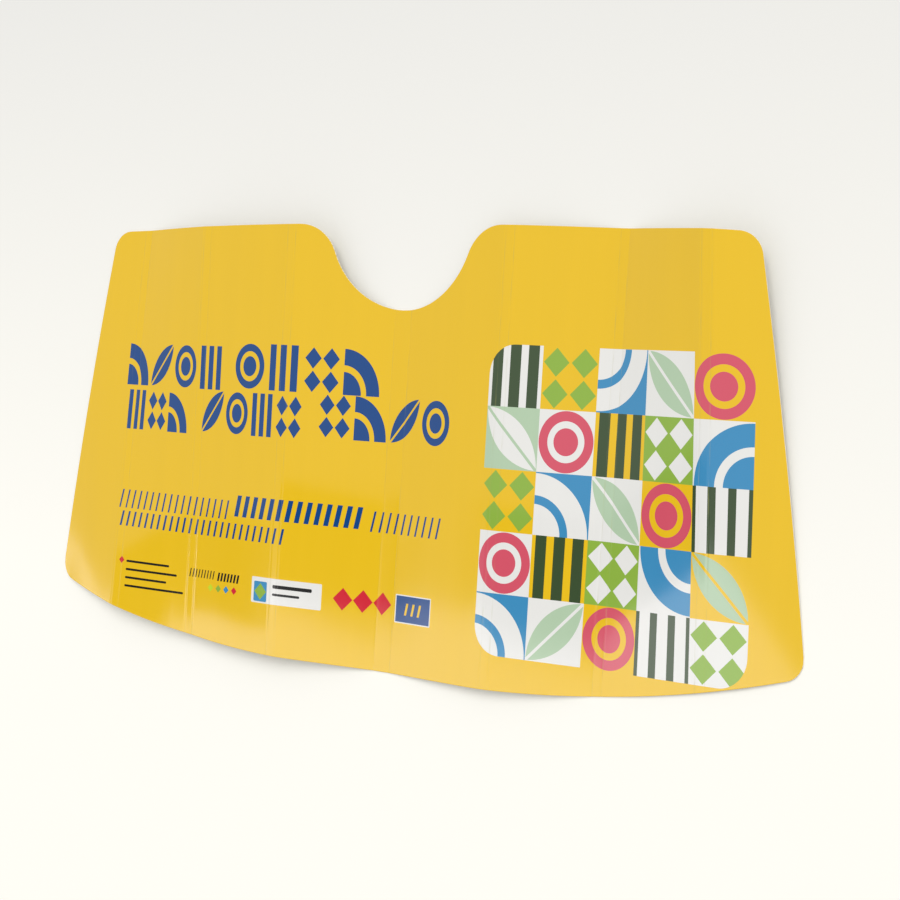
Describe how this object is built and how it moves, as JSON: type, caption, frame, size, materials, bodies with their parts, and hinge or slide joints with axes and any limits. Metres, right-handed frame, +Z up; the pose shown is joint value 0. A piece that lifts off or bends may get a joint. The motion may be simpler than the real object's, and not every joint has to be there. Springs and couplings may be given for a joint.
{
  "type": "folding car windscreen sunshade",
  "caption": "Thin card windscreen sunshade, die-cut with a rounded mirror notch and scored to fold like a concertina, lying half unfolded with its printed side up.",
  "frame": {"origin": "on the surface that the sheet lies on, under the middle of its bounding box", "axes": "+X along the long side, +Y towards the edge with the mirror notch, +Z up, out of the printed side"},
  "size_m": [1.2678, 0.5992, 0.0445],
  "materials": {
    "laminated_card": "thin corrugated card with a gloss film over a yellow print on the front, plain off-white on the back"
  },
  "bodies": {
    "root": {"shade_sheet": "laminated_card"}
  },
  "joints": []
}
